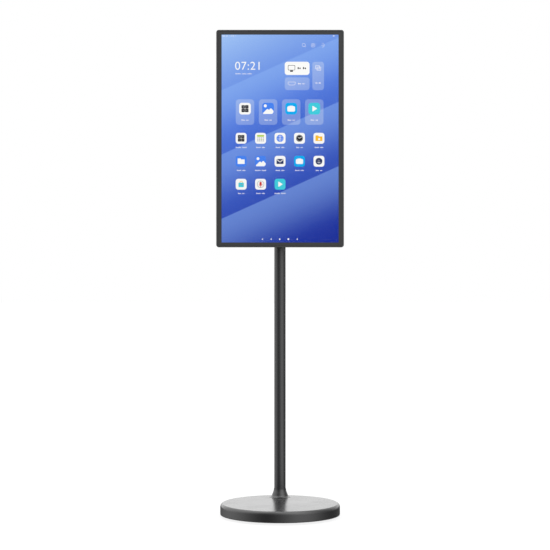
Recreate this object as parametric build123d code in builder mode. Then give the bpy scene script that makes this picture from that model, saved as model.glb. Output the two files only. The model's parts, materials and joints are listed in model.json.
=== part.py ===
from build123d import *
import os
from math import cos, radians, sin

# A touch display on a rolling stand: a weighted round base on hidden casters, a telescopic
# pole, and a neck that lets the screen swivel, tilt and turn between upright and sideways.
# Millimetres, +Z up. The origin is on the floor under the centre of the base, the screen
# faces -Y, and +X is to the right of someone looking at it.

os.makedirs("parts", exist_ok=True)

# ---- Clearances shared by the fits ----
running_gap = 0.05  # radial, a shaft that turns or slides in its hole
loose_gap = 0.3  # a part that passes through or sits in another
face_gap = 0.2  # between flat faces that rub on different moving parts

# ---- Casters ----
wheel_diameter = 26
wheel_width = 12
wheel_softness = 2
caster_trail = 9  # wheel axle behind the swivel axis
caster_count = 4
caster_first_angle = 45
caster_inset = 60  # swivel axis in from the rim of the base
cheek_thickness = 2.2
cheek_gap = 0.6
cheek_end_radius = 5.5
fork_plate_thickness = 3
fork_plate_radius = 12
fork_headroom = 1.5
stem_radius = 4
stem_length = 6.1
thrust_radius = 7
thrust_height = 0.9
axle_radius = 2.5
axle_head_radius = 4
axle_head_thickness = 1.5
swing_gap = 5

# ---- Base ----
base_diameter = 400
ground_gap = 7.5
pan_thickness = 2
pan_inset = 0.5
rim_height = 6
rim_thickness = 2.4
cover_wall = 3
shoulder_width = 7.7
shoulder_drop = 12
shoulder_bulge = 2  # the shoulder's arc stands this far proud of a straight slope
shoulder_softness = 2
inner_shoulder_inset = 1.4
inner_shoulder_drop = 1
skirt_softness = 1
well_wall = 2
well_roof = 6.5
roof_gap = 1
cover_headroom = 3
ballast_clearance = 1
post_count = 6
post_radius = 4.5
post_inset = 14
post_pilot_radius = 1.5
pan_screw_head_radius = 3.2
pan_screw_head_height = 1.8
pan_screw_length = 12
ballast_thickness = 14
ballast_gap = 3.5
battery_length = 80
battery_height = 15
battery_softness = 3
battery_gap = 8  # to the charging board
board_thickness = 1.6
charge_board_length = 60
charge_board_width = 100
charge_board_ahead = 5  # its back edge behind the status light
charge_standoff = 4
charge_chip_length = 12
charge_chip_width = 16
charge_chip_height = 3
standoff_inset = 4
standoff_radius = 3
status_light_radius = 2.5
status_light_flange = 4
status_light_flange_height = 1.5
status_light_gap = 0.1
status_light_proud = 0.1
status_light_back = 67  # in front of the pole axis
inlet_angle = 76
inlet_width = 14
inlet_height = 11
inlet_depth = 16
inlet_recess = 0.6
inlet_bore_radius = 3.2
inlet_bore_depth = 10
inlet_pin_radius = 1

# ---- Pole ----
pole_diameter = 39
pole_wall = 2
pole_inset = 50  # pole axis in from the rim of the base
flange_rim = 17
flange_thickness = 6
flange_screw_offset = 7.5
flange_screw_radius = 2.5
flange_screw_head_radius = 4.2
flange_screw_head_height = 4
flange_screw_tip_gap = 2
spigot_length = 34
spigot_gap = 0.1
spigot_chamfer = 1
collar_height = 30
collar_flare = 17
collar_lip = 0.6
collar_step = 1  # its top edge stands this far off the pole
slide_liner = 2  # gap between the two tubes that the bush and the glide ring fill
inner_tube_wall = 1.5
tube_overlap = 250  # inner tube left inside the outer one at full height
height_travel = 200
bush_length = 80
bush_lip = 4
bush_lip_softness = 1.2
bush_lip_gap = 1  # to the neck's flange with the pole fully down
glide_ring_length = 30
anchor_plug_length = 20
gas_cylinder_radius = 10
gas_cylinder_wall = 2
gas_cylinder_floor = 6
gas_cylinder_head = 20
gas_rod_radius = 4
gas_piston_length = 12
gas_end_margin = 5
gas_cylinder_softness = 1

# ---- Neck ----
screen_centre_height = 1264
neck_drop = 40  # top of the inner tube below the screen's centre
spindle_plug_length = 40
spindle_flange_rim = 2
spindle_flange_thickness = 5
journal_radius = 12
washer_thickness = 2
barrel_wall = 12
barrel_top_rise = 25
barrel_softness = 2
spindle_thread_radius = 8
spindle_thread_length = 12
spindle_chamfer = 1
swivel_nut_radius = 17
swivel_nut_height = 8
swivel_nut_flange = 2
swivel_nut_rim = 2
swivel_cap_wall = 2.5
swivel_cap_height = 19
swivel_cap_softness = 4
tilt_reach = 50  # tilt axis in front of the pole axis
ear_inner = 15
ear_thickness = 7
ear_radius = 13
web_thickness = 12
web_gap = 4  # between the web and the bracket's knuckle
ear_bury = 6  # the ears run on into the barrel
tilt_pin_radius = 4
tilt_pin_head_radius = 6.5
tilt_pin_head_thickness = 3
tilt_pin_softness = 1
knuckle_radius = 12
knuckle_side_gap = 0.3
neck_half_height = 11
bracket_standoff = 23  # tilt axis to the back of the bracket's round plate
bracket_plate_thickness = 6
hub_radius = 36
friction_washer_thickness = 1.8
friction_washer_inset = 2
turn_disc_thickness = 8
turn_recess_radius = 19
turn_recess_depth = 4.5
turn_spindle_radius = 10
turn_nut_radius = 16
turn_nut_thickness = 4.7
turn_nut_gap = 0.3
turn_spindle_chamfer = 0.8
vesa_plate_size = 120
vesa_plate_thickness = 3
vesa_plate_corner = 8
vesa_spacing = 100
mount_screw_radius = 2
mount_screw_head_radius = 3.8
mount_screw_head_height = 2.5
mount_screw_length = 10
screw_head_gap = 0.2
screw_head_sink = 0.3
disc_screw_ring = 27

# ---- Display, measured back from its front face ----
active_width = 392.4  # a 31.5 inch 9:16 panel
active_height = 697.7
side_bezel = 18.05
end_bezel = 16
display_corner = 8.5
display_depth = 38  # front face to the back of the raised middle
frame_depth = 24
frame_wall = 2.5
frame_lip = 5.5
frame_softness = 1.6
glass_inset = 0.4
glass_thickness = 3
glass_gap = 0.2
glass_chamfer = 0.3
ledge_width = 12
ledge_front = 3.5
ledge_thickness = 2
panel_border = 3
panel_front = 4
panel_thickness = 1.6
diffuser_border = 4
diffuser_thickness = 2
tray_border = 5
tray_depth = 7
tray_wall = 1.2
led_bar_count = 6
led_bar_width = 12
led_bar_thickness = 2
led_bar_inset = 5
led_lens_count = 7
led_lens_radius = 6
led_lens_height = 1.5
chassis_side_gap = 15  # inside the rear bump
chassis_height = 390
chassis_thickness = 3
chassis_corner = 12
chassis_window_width = 70
chassis_window_height = 66
chassis_window_corner = 8
chassis_window_across = 123
chassis_window_rise = 269
boss_radius = 6.5
cover_thickness = 2.5
cover_gap = 0.2
bump_side_margin = 64.25  # from the bump's side to the display's
bump_height = 420
bump_corner = 24
bump_softness = 6
bump_wall = 2.5
vent_count = 17
vent_width = 3
vent_length = 34
vent_pitch = 13
vent_rise = 170
grille_count = 9
grille_width = 2
grille_length = 18
grille_pitch = 6
case_screw_inset = 5
case_screw_rise = 100
case_screw_far_rise = 300
case_boss_size = 10
case_boss_bury = 0.4  # the bosses run on into the frame's wall
case_boss_depth = 5.5
case_screw_radius = 1.5
case_screw_head_radius = 2.8
case_screw_head_height = 1.6
case_screw_length = 6
main_board_width = 170
main_board_height = 100
main_board_drop = 115
main_board_standoff = 4.4
chip_height = 6.4
chip_size = 38
chip_across = 10
chip_rise = 18
capacitor_radius = 6
capacitor_pitch = 20
capacitor_across = 58
capacitor_drop = 20
connector_length = 46
connector_width = 12
connector_across = 6
connector_drop = 30
board_leg_inset_across = 20
board_leg_inset_up = 8
board_edge_gap = 1
speaker_width = 70
speaker_height = 28
speaker_depth = 10
speaker_drop = 190
speaker_side_inset = 55  # from the bump's side
speaker_corner = 3
speaker_gap = 0.5
cone_radius = 11
cone_depth = 3
cone_taper = 25
usb_width = 14.4
usb_height = 7
hdmi_width = 16.6
hdmi_height = 6.6
socket_depth = 14
socket_rise_off_board = 4.5
socket_sink = 0.2
socket_tongue_inset = 2
socket_wall = 0.8
socket_tongue = 1.6
socket_pitch = 26
button_radius = 4.5
button_rim = 1.5
button_gap = 0.3
button_proud = 1.2
button_rim_thickness = 2.4
button_softness = 0.6
button_travel = 0.8
switch_radius = 2
switch_height = 0.8
switch_gap = 0.1
button_board_leg_radius = 2.5
button_board_leg_inset = 5
power_button_drop = 90
volume_button_drop = 125
volume_button_pitch = 20
button_board_width = 16
button_board_height = 84

# ---- Heights and places worked out from the sizes above ----
wheel_radius = wheel_diameter / 2
fork_plate_low = wheel_diameter + fork_headroom
thrust_low = fork_plate_low + fork_plate_thickness
well_roof_low = thrust_low + roof_gap
well_top = well_roof_low + well_roof
cover_inner_top = well_top + cover_headroom
base_top = cover_inner_top + cover_wall
base_radius = base_diameter / 2
pan_top = ground_gap + pan_thickness
well_radius = caster_trail + wheel_radius + swing_gap
well_outer = well_radius + well_wall
caster_ring = base_radius - caster_inset
caster_side = caster_ring * cos(radians(caster_first_angle))
post_ring = base_radius - post_inset
ballast_radius = post_ring - post_radius - ballast_gap
ballast_top = pan_top + ballast_thickness

pole_y = base_radius - pole_inset
pole_radius = pole_diameter / 2
pole_bore = pole_radius - pole_wall
flange_radius = pole_radius + flange_rim
flange_top = ballast_top + flange_thickness
flange_screw_ring = pole_radius + flange_screw_offset
spigot_top = flange_top + spigot_length
inner_tube_radius = pole_bore - slide_liner
inner_tube_bore = inner_tube_radius - inner_tube_wall
inner_tube_top = screen_centre_height - neck_drop
pole_top = inner_tube_top - height_travel - bush_lip - bush_lip_gap
inner_tube_low = pole_top - tube_overlap
gas_cylinder_top = inner_tube_low - height_travel - cover_headroom - gas_cylinder_head
gas_piston_low = spigot_top + gas_cylinder_floor + height_travel + gas_end_margin

spindle_flange_top = inner_tube_top + spindle_flange_thickness
barrel_low = spindle_flange_top + washer_thickness + face_gap
barrel_top = screen_centre_height + barrel_top_rise
barrel_radius = journal_radius + barrel_wall
ear_outer = ear_inner + ear_thickness
tilt_y = pole_y - tilt_reach
bracket_plate_back = tilt_y - bracket_standoff
bracket_plate_front = bracket_plate_back - bracket_plate_thickness
turn_disc_back = bracket_plate_front - friction_washer_thickness - face_gap
turn_disc_front = turn_disc_back - turn_disc_thickness
display_back = turn_disc_front - vesa_plate_thickness
display_front = display_back - display_depth

display_width = active_width + 2 * side_bezel
display_height = active_height + 2 * end_bezel
frame_back = display_front + frame_depth
glass_front = display_front + glass_inset
glass_back = glass_front + glass_thickness
panel_back = display_front + panel_front + panel_thickness
diffuser_back = panel_back + diffuser_thickness
tray_back = diffuser_back + tray_depth
chassis_back = tray_back + chassis_thickness
cover_front = frame_back - cover_thickness
main_board_front = chassis_back + main_board_standoff
main_board_back = main_board_front + board_thickness
bump_inner_back = display_back - bump_wall
case_screw_x = display_width / 2 - frame_wall - case_screw_inset
bump_width = display_width - 2 * bump_side_margin
chassis_width = bump_width - 2 * chassis_side_gap
speaker_offset = bump_width / 2 - speaker_side_inset
button_x = (bump_width / 2 + display_width / 2 - frame_wall) / 2
button_front = cover_front - face_gap - button_rim_thickness
button_board_back = button_front - button_travel - switch_gap


def keep(piece, name):
    """Label a finished piece and write it to its own file."""
    piece.part.label = name
    export_step(piece.part, f"parts/{name}.step")


def pole_plane(height):
    """A level plane centred on the pole's axis."""
    return Plane(origin=(0, pole_y, height))


def screen_plane(depth):
    """An upright plane centred on the screen; extruding from it goes forward, to -Y."""
    return Plane(origin=(0, depth, screen_centre_height), x_dir=(1, 0, 0), z_dir=(0, -1, 0))


def side_plane(across):
    """An upright plane that looks along X, with its origin on the tilt axis."""
    return Plane(origin=(across, tilt_y, screen_centre_height), x_dir=(0, 1, 0), z_dir=(1, 0, 0))


def pole_ring(name, outer, inner, low, high):
    """A round sleeve, washer or plug about the pole's axis."""
    with BuildPart() as ring:
        with BuildSketch(pole_plane(low)):
            Circle(outer)
            if inner:
                Circle(inner, mode=Mode.SUBTRACT)
        extrude(amount=high - low)
    keep(ring, name)


# ---- Base ----

flat_radius = base_radius - shoulder_width
shoulder_low = base_top - shoulder_drop
inner_flat_radius = flat_radius - inner_shoulder_inset
inner_shoulder_low = shoulder_low - inner_shoulder_drop
slope_length = (shoulder_width**2 + shoulder_drop**2) ** 0.5
shoulder_middle = (
    (flat_radius + base_radius) / 2 + shoulder_bulge * shoulder_drop / slope_length,
    (base_top + shoulder_low) / 2 + shoulder_bulge * shoulder_width / slope_length,
)
inlet_middle = (shoulder_low + rim_height + pan_top) / 2
inlet_spot = Location((0, 0, inlet_middle), (0, 0, inlet_angle))

with BuildPart() as base_top_cover:
    with BuildSketch(Plane.XZ) as cover_profile:
        with BuildLine():
            Line((0, base_top), (flat_radius, base_top))
            ThreePointArc((flat_radius, base_top), shoulder_middle, (base_radius, shoulder_low))
            Polyline(
                (base_radius, shoulder_low),
                (base_radius, pan_top),
                (base_radius - cover_wall, pan_top),
                (base_radius - cover_wall, inner_shoulder_low),
                (inner_flat_radius, cover_inner_top),
                (0, cover_inner_top),
                (0, base_top),
            )
        make_face()
        rim_corners = cover_profile.vertices().group_by(Axis.X)[-1].sort_by(Axis.Y)
        top_corner = cover_profile.vertices().group_by(Axis.Y)[-1].sort_by(Axis.X)[-1]
        fillet([rim_corners[-1], top_corner], shoulder_softness)
        fillet(cover_profile.vertices().group_by(Axis.X)[-1].sort_by(Axis.Y)[0], skirt_softness)
    revolve(axis=Axis.Z)
    # Posts that the underside screws into.
    with BuildSketch(Plane.XY.offset(pan_top)):
        with PolarLocations(post_ring, post_count):
            Circle(post_radius)
    extrude(amount=cover_inner_top - pan_top)
    with BuildSketch(Plane.XY.offset(pan_top)):
        with PolarLocations(post_ring, post_count):
            Circle(post_pilot_radius)
    extrude(amount=pan_screw_length, mode=Mode.SUBTRACT)
    with Locations((0, pole_y, base_top)):
        Hole(pole_radius + loose_gap)
    with Locations((0, pole_y - status_light_back, base_top)):
        Hole(status_light_radius + status_light_gap)
    with Locations(inlet_spot):
        Box(
            2 * base_radius,
            inlet_width + 2 * loose_gap,
            inlet_height + 2 * loose_gap,
            align=(Align.MIN, Align.CENTER, Align.CENTER),
            mode=Mode.SUBTRACT,
        )
keep(base_top_cover, "base_top_cover")

with BuildPart() as base_bottom_pan:
    with BuildSketch(Plane.XY.offset(ground_gap)):
        Circle(base_radius - pan_inset)
    extrude(amount=pan_thickness)
    with BuildSketch(Plane.XY.offset(pan_top)):
        Circle(base_radius - cover_wall - loose_gap)
        Circle(base_radius - cover_wall - loose_gap - rim_thickness, mode=Mode.SUBTRACT)
    extrude(amount=rim_height)
    with BuildSketch(Plane.XY.offset(ground_gap)):
        with PolarLocations(caster_ring, caster_count, caster_first_angle):
            Circle(well_outer)
    extrude(amount=well_top - ground_gap)
    with BuildSketch(Plane.XY.offset(ground_gap)):
        with PolarLocations(caster_ring, caster_count, caster_first_angle):
            Circle(well_radius)
    extrude(amount=well_roof_low - ground_gap, mode=Mode.SUBTRACT)
    with PolarLocations(caster_ring, caster_count, caster_first_angle):
        Hole(stem_radius + running_gap)
    with PolarLocations(post_ring, post_count):
        Hole(post_pilot_radius + loose_gap)
keep(base_bottom_pan, "base_bottom_pan")

with BuildPart() as pan_screws:
    with BuildSketch(Plane.XY.offset(ground_gap - pan_screw_head_height)):
        with PolarLocations(post_ring, post_count):
            Circle(pan_screw_head_radius)
    extrude(amount=pan_screw_head_height)
    fillet(pan_screws.edges().group_by(Axis.Z)[0], pan_screw_head_height / 3)
    with BuildSketch(Plane.XY.offset(ground_gap)):
        with PolarLocations(post_ring, post_count):
            Circle(post_pilot_radius - running_gap)
    extrude(amount=pan_screw_length)
keep(pan_screws, "pan_screws")

with BuildPart() as ballast_plate:
    with BuildSketch(Plane.XY.offset(pan_top)):
        Circle(ballast_radius)
        with PolarLocations(caster_ring, caster_count, caster_first_angle):
            Circle(well_outer + ballast_clearance, mode=Mode.SUBTRACT)
    extrude(amount=ballast_thickness)
    with Locations((0, pole_y, 0)):
        with PolarLocations(flange_screw_ring, 4, 45):
            Hole(flange_screw_radius + running_gap)
keep(ballast_plate, "ballast_plate")

electronics_width = 2 * (caster_side - well_outer - ballast_clearance)
charge_board_back = pole_y - status_light_back + charge_board_ahead
charge_board_front = charge_board_back - charge_board_length
battery_back = charge_board_front - battery_gap

with BuildPart() as battery_pack:
    with BuildSketch(Plane.XY.offset(ballast_top)):
        with Locations((0, battery_back - battery_length / 2)):
            RectangleRounded(electronics_width, battery_length, battery_softness)
    extrude(amount=battery_height)
    fillet(battery_pack.edges().group_by(Axis.Z)[-1], battery_softness / 2)
keep(battery_pack, "battery_pack")

charge_board_low = ballast_top + charge_standoff
charge_board_middle = charge_board_back - charge_board_length / 2
charge_width = min(charge_board_width, electronics_width)

with BuildPart() as charge_board:
    with BuildSketch(Plane.XY.offset(charge_board_low)):
        with Locations((0, charge_board_middle)):
            Rectangle(charge_width, charge_board_length)
    extrude(amount=board_thickness)
    with BuildSketch(Plane.XY.offset(ballast_top)):
        with Locations((0, charge_board_middle)):
            with GridLocations(
                charge_width - 2 * standoff_inset, charge_board_length - 2 * standoff_inset, 2, 2
            ):
                Circle(standoff_radius)
    extrude(amount=charge_standoff)
    with BuildSketch(Plane.XY.offset(charge_board_low + board_thickness)):
        with Locations((0, charge_board_middle - 2 * standoff_inset)):
            with GridLocations(2 * charge_chip_width, 2 * charge_chip_length, 3, 2):
                Rectangle(charge_chip_width, charge_chip_length)
    extrude(amount=charge_chip_height)
keep(charge_board, "charge_board")

with BuildPart() as status_light:
    light_low = charge_board_low + board_thickness
    light_plane = Plane(origin=(0, pole_y - status_light_back, light_low))
    with BuildSketch(light_plane):
        Circle(status_light_radius)
    extrude(amount=base_top - light_low + status_light_proud)
    with BuildSketch(light_plane.offset(cover_inner_top - light_low - status_light_flange_height)):
        Circle(status_light_flange)
    extrude(amount=status_light_flange_height)
keep(status_light, "status_light")

with BuildPart() as dc_inlet:
    with Locations(inlet_spot):
        with Locations((base_radius - inlet_depth, 0, 0)):
            Box(
                inlet_depth - inlet_recess,
                inlet_width,
                inlet_height,
                align=(Align.MIN, Align.CENTER, Align.CENTER),
            )
    mouth_radius = base_radius - inlet_recess
    inlet_mouth = Plane(
        origin=(
            mouth_radius * cos(radians(inlet_angle)),
            mouth_radius * sin(radians(inlet_angle)),
            inlet_middle,
        ),
        x_dir=(-sin(radians(inlet_angle)), cos(radians(inlet_angle)), 0),
        z_dir=(cos(radians(inlet_angle)), sin(radians(inlet_angle)), 0),
    )
    with BuildSketch(inlet_mouth):
        Circle(inlet_bore_radius)
        Circle(inlet_pin_radius, mode=Mode.SUBTRACT)
    extrude(amount=-inlet_bore_depth, mode=Mode.SUBTRACT)
keep(dc_inlet, "dc_inlet")

# ---- Casters ----


def make_caster(number, angle):
    """A swivel fork, its axle and its wheel. The wheel trails to +Y at rest."""
    stem_x = caster_ring * cos(radians(angle))
    stem_y = caster_ring * sin(radians(angle))
    cheek_inner = wheel_width / 2 + cheek_gap
    cheek_outer = cheek_inner + cheek_thickness

    def upright(across):
        return Plane(origin=(stem_x + across, stem_y, 0), x_dir=(0, 1, 0), z_dir=(1, 0, 0))

    with BuildPart() as fork:
        for inner_face in (-cheek_outer, cheek_inner):
            with BuildSketch(upright(inner_face)):
                with Locations((caster_trail, wheel_radius)):
                    Circle(cheek_end_radius)
                with BuildLine():
                    Polyline(
                        (caster_trail - cheek_end_radius, wheel_radius),
                        (caster_trail + cheek_end_radius, wheel_radius),
                        (caster_trail + cheek_end_radius, fork_plate_low),
                        (-thrust_radius, fork_plate_low),
                        close=True,
                    )
                make_face()
            extrude(amount=cheek_thickness)
        with BuildSketch(Plane(origin=(stem_x, stem_y, fork_plate_low))):
            Circle(fork_plate_radius)
            with Locations((0, (caster_trail + cheek_end_radius - thrust_radius) / 2)):
                Rectangle(2 * cheek_outer, caster_trail + cheek_end_radius + thrust_radius)
        extrude(amount=fork_plate_thickness)
        with BuildSketch(Plane(origin=(stem_x, stem_y, thrust_low))):
            Circle(thrust_radius)
        extrude(amount=thrust_height)
        with BuildSketch(Plane(origin=(stem_x, stem_y, thrust_low + thrust_height))):
            Circle(stem_radius)
        extrude(amount=stem_length)
        with BuildSketch(upright(-cheek_outer)):
            with Locations((caster_trail, wheel_radius)):
                Circle(axle_radius)
        extrude(amount=2 * cheek_outer, mode=Mode.SUBTRACT)
    keep(fork, f"caster_fork_{number}")

    axle_half = cheek_outer + axle_head_thickness
    with BuildPart() as axle:
        with BuildSketch(upright(-axle_half)):
            with Locations((caster_trail, wheel_radius)):
                Circle(axle_radius)
        extrude(amount=2 * axle_half)
        for head_face in (-axle_half, cheek_outer):
            with BuildSketch(upright(head_face)):
                with Locations((caster_trail, wheel_radius)):
                    Circle(axle_head_radius)
            extrude(amount=axle_head_thickness)
    keep(axle, f"caster_axle_{number}")

    with BuildPart() as wheel:
        with BuildSketch(upright(-wheel_width / 2)):
            with Locations((caster_trail, wheel_radius)):
                Circle(wheel_radius)
        extrude(amount=wheel_width)
        fillet(wheel.edges(), wheel_softness)
        with BuildSketch(upright(-wheel_width / 2)):
            with Locations((caster_trail, wheel_radius)):
                Circle(axle_radius + running_gap)
        extrude(amount=wheel_width, mode=Mode.SUBTRACT)
    keep(wheel, f"caster_wheel_{number}")


for caster_number in range(1, caster_count + 1):
    make_caster(caster_number, caster_first_angle + (caster_number - 1) * 360 / caster_count)

# ---- Pole ----

with BuildPart() as pole_flange:
    with BuildSketch(pole_plane(ballast_top)):
        Circle(flange_radius)
        with PolarLocations(flange_screw_ring, 4, 45):
            Circle(flange_screw_radius + loose_gap, mode=Mode.SUBTRACT)
    extrude(amount=flange_thickness)
    with BuildSketch(pole_plane(flange_top)):
        Circle(pole_bore - spigot_gap)
    extrude(amount=spigot_length)
    chamfer(pole_flange.edges().group_by(Axis.Z)[-1], spigot_chamfer)
keep(pole_flange, "pole_flange")

with BuildPart() as flange_screws:
    with BuildSketch(pole_plane(flange_top)):
        with PolarLocations(flange_screw_ring, 4, 45):
            Circle(flange_screw_head_radius)
    extrude(amount=flange_screw_head_height)
    with BuildSketch(pole_plane(flange_top + flange_screw_head_height)):
        with PolarLocations(flange_screw_ring, 4, 45):
            RegularPolygon(flange_screw_radius, 6)
    extrude(amount=-flange_screw_head_height / 2, mode=Mode.SUBTRACT)
    with BuildSketch(pole_plane(flange_top)):
        with PolarLocations(flange_screw_ring, 4, 45):
            Circle(flange_screw_radius)
    extrude(amount=-(flange_thickness + ballast_thickness - flange_screw_tip_gap))
keep(flange_screws, "flange_screws")

pole_ring("outer_tube", pole_radius, pole_bore, flange_top, pole_top)

with BuildPart() as foot_collar:
    sleeve = pole_radius + spigot_gap
    collar_top = pole_radius + collar_step
    collar_rim = pole_radius + collar_flare
    with BuildSketch(Plane(origin=(0, pole_y, base_top), x_dir=(1, 0, 0), z_dir=(0, -1, 0))):
        with BuildLine():
            Line((sleeve, 0), (sleeve, collar_height))
            Line((sleeve, collar_height), (collar_top, collar_height))
            # Nearly upright at the pole, and level where it meets the base.
            Spline(
                (collar_top, collar_height),
                (collar_top + collar_flare * 0.09, collar_height * 0.7),
                (collar_top + collar_flare * 0.31, collar_height * 0.36),
                (collar_rim, collar_lip),
                tangents=((0, -1), (1, 0)),
            )
            Line((collar_rim, collar_lip), (collar_rim, 0))
            Line((collar_rim, 0), (sleeve, 0))
        make_face()
    revolve(axis=Axis((0, pole_y, 0), (0, 0, 1)))
keep(foot_collar, "foot_collar")

with BuildPart() as guide_bush:
    with BuildSketch(pole_plane(pole_top - bush_length)):
        Circle(pole_bore)
    extrude(amount=bush_length)
    with BuildSketch(pole_plane(pole_top)):
        Circle(pole_radius)
    extrude(amount=bush_lip)
    fillet(guide_bush.edges().group_by(Axis.Z)[-1], bush_lip_softness)
    with BuildSketch(pole_plane(pole_top - bush_length)):
        Circle(inner_tube_radius + running_gap)
    extrude(amount=bush_length + bush_lip, mode=Mode.SUBTRACT)
keep(guide_bush, "guide_bush")

with BuildPart() as gas_spring_cylinder:
    with BuildSketch(pole_plane(spigot_top)):
        Circle(gas_cylinder_radius)
    extrude(amount=gas_cylinder_top - spigot_top)
    with BuildSketch(pole_plane(spigot_top + gas_cylinder_floor)):
        Circle(gas_cylinder_radius - gas_cylinder_wall)
    extrude(
        amount=gas_cylinder_top - spigot_top - gas_cylinder_floor - gas_cylinder_head,
        mode=Mode.SUBTRACT,
    )
    with BuildSketch(pole_plane(gas_cylinder_top)):
        Circle(gas_rod_radius + running_gap)
    extrude(amount=-gas_cylinder_head, mode=Mode.SUBTRACT)
    cylinder_top_edges = gas_spring_cylinder.edges().filter_by(GeomType.CIRCLE).group_by(Axis.Z)[-1]
    fillet(cylinder_top_edges[-1], gas_cylinder_softness)
keep(gas_spring_cylinder, "gas_spring_cylinder")

with BuildPart() as gas_spring_rod:
    with BuildSketch(pole_plane(gas_piston_low)):
        Circle(gas_cylinder_radius - gas_cylinder_wall - running_gap)
    extrude(amount=gas_piston_length)
    with BuildSketch(pole_plane(gas_piston_low + gas_piston_length)):
        Circle(gas_rod_radius)
    extrude(amount=inner_tube_low - gas_piston_low - gas_piston_length)
keep(gas_spring_rod, "gas_spring_rod")

pole_ring("inner_tube", inner_tube_radius, inner_tube_bore, inner_tube_low, inner_tube_top)
pole_ring(
    "glide_ring",
    pole_bore - running_gap,
    inner_tube_radius,
    inner_tube_low,
    inner_tube_low + glide_ring_length,
)
pole_ring("rod_anchor_plug", inner_tube_bore, 0, inner_tube_low, inner_tube_low + anchor_plug_length)

# ---- Neck ----

with BuildPart() as swivel_spindle:
    with BuildSketch(pole_plane(inner_tube_top - spindle_plug_length)):
        Circle(inner_tube_bore)
    extrude(amount=spindle_plug_length)
    with BuildSketch(pole_plane(inner_tube_top)):
        Circle(inner_tube_radius + spindle_flange_rim)
    extrude(amount=spindle_flange_thickness)
    with BuildSketch(pole_plane(spindle_flange_top)):
        Circle(journal_radius)
    extrude(amount=barrel_top + face_gap - spindle_flange_top)
    with BuildSketch(pole_plane(barrel_top + face_gap)):
        Circle(spindle_thread_radius)
    extrude(amount=spindle_thread_length)
    chamfer(swivel_spindle.edges().group_by(Axis.Z)[-1], spindle_chamfer)
keep(swivel_spindle, "swivel_spindle")

pole_ring(
    "thrust_washer",
    inner_tube_radius + spindle_flange_rim,
    journal_radius,
    spindle_flange_top,
    spindle_flange_top + washer_thickness,
)

ear_length = tilt_reach - ear_bury
with BuildPart() as swivel_housing:
    with BuildSketch(pole_plane(barrel_low)):
        Circle(barrel_radius)
    extrude(amount=barrel_top - barrel_low)
    fillet(swivel_housing.edges().group_by(Axis.Z)[0], barrel_softness)
    for inner_face in (-ear_outer, ear_inner):
        with BuildSketch(side_plane(inner_face)):
            Circle(ear_radius)
            with Locations((ear_length / 2, 0)):
                Rectangle(ear_length, 2 * ear_radius)
        extrude(amount=ear_thickness)
    with BuildSketch(side_plane(-ear_outer)):
        with Locations((knuckle_radius + web_gap + web_thickness, 0)):
            Rectangle(2 * web_thickness, 2 * ear_radius)
    extrude(amount=2 * ear_outer)
    with BuildSketch(pole_plane(barrel_low)):
        Circle(journal_radius + running_gap)
    extrude(amount=barrel_top - barrel_low, mode=Mode.SUBTRACT)
    with BuildSketch(side_plane(-ear_outer)):
        Circle(tilt_pin_radius)
    extrude(amount=2 * ear_outer, mode=Mode.SUBTRACT)
keep(swivel_housing, "swivel_housing")

with BuildPart() as swivel_nut:
    with BuildSketch(pole_plane(barrel_top + face_gap)):
        Circle(swivel_nut_radius)
    extrude(amount=swivel_nut_flange)
    with BuildSketch(pole_plane(barrel_top + face_gap + swivel_nut_flange)):
        RegularPolygon(swivel_nut_radius - swivel_nut_rim, 6)
    extrude(amount=swivel_nut_height - swivel_nut_flange)
    with BuildSketch(pole_plane(barrel_top + face_gap)):
        Circle(spindle_thread_radius)
    extrude(amount=swivel_nut_height, mode=Mode.SUBTRACT)
keep(swivel_nut, "swivel_nut")

with BuildPart() as swivel_cap:
    with BuildSketch(pole_plane(barrel_top)):
        Circle(barrel_radius)
    extrude(amount=swivel_cap_height)
    fillet(swivel_cap.edges().group_by(Axis.Z)[-1], swivel_cap_softness)
    with BuildSketch(pole_plane(barrel_top)):
        Circle(barrel_radius - swivel_cap_wall)
    extrude(amount=swivel_cap_height - swivel_cap_wall, mode=Mode.SUBTRACT)
keep(swivel_cap, "swivel_cap")

pin_half = ear_outer + tilt_pin_head_thickness
with BuildPart() as tilt_pin:
    with BuildSketch(side_plane(-pin_half)):
        Circle(tilt_pin_radius)
    extrude(amount=2 * pin_half)
    for head_face in (-pin_half, ear_outer):
        with BuildSketch(side_plane(head_face)):
            Circle(tilt_pin_head_radius)
        extrude(amount=tilt_pin_head_thickness)
    fillet(tilt_pin.edges().group_by(Axis.X)[0], tilt_pin_softness)
    fillet(tilt_pin.edges().group_by(Axis.X)[-1], tilt_pin_softness)
keep(tilt_pin, "tilt_pin")

knuckle_half = ear_inner - knuckle_side_gap
with BuildPart() as tilt_bracket:
    with BuildSketch(side_plane(-knuckle_half)):
        Circle(knuckle_radius)
        with Locations((-bracket_standoff / 2, 0)):
            Rectangle(bracket_standoff, 2 * neck_half_height)
    extrude(amount=2 * knuckle_half)
    with BuildSketch(screen_plane(bracket_plate_back)):
        Circle(hub_radius)
    extrude(amount=bracket_plate_thickness)
    with BuildSketch(screen_plane(bracket_plate_back)):
        Circle(turn_spindle_radius)
    extrude(amount=bracket_plate_thickness, mode=Mode.SUBTRACT)
    with BuildSketch(side_plane(-knuckle_half)):
        Circle(tilt_pin_radius + running_gap)
    extrude(amount=2 * knuckle_half, mode=Mode.SUBTRACT)
keep(tilt_bracket, "tilt_bracket")

turn_nut_back = turn_disc_front + turn_recess_depth - turn_nut_gap
turn_spindle_front = turn_nut_back - turn_nut_thickness
with BuildPart() as turn_spindle:
    with BuildSketch(screen_plane(bracket_plate_back)):
        Circle(turn_spindle_radius)
    extrude(amount=bracket_plate_back - turn_spindle_front)
    chamfer(turn_spindle.edges().group_by(Axis.Y)[0], turn_spindle_chamfer)
keep(turn_spindle, "turn_spindle")

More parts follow.
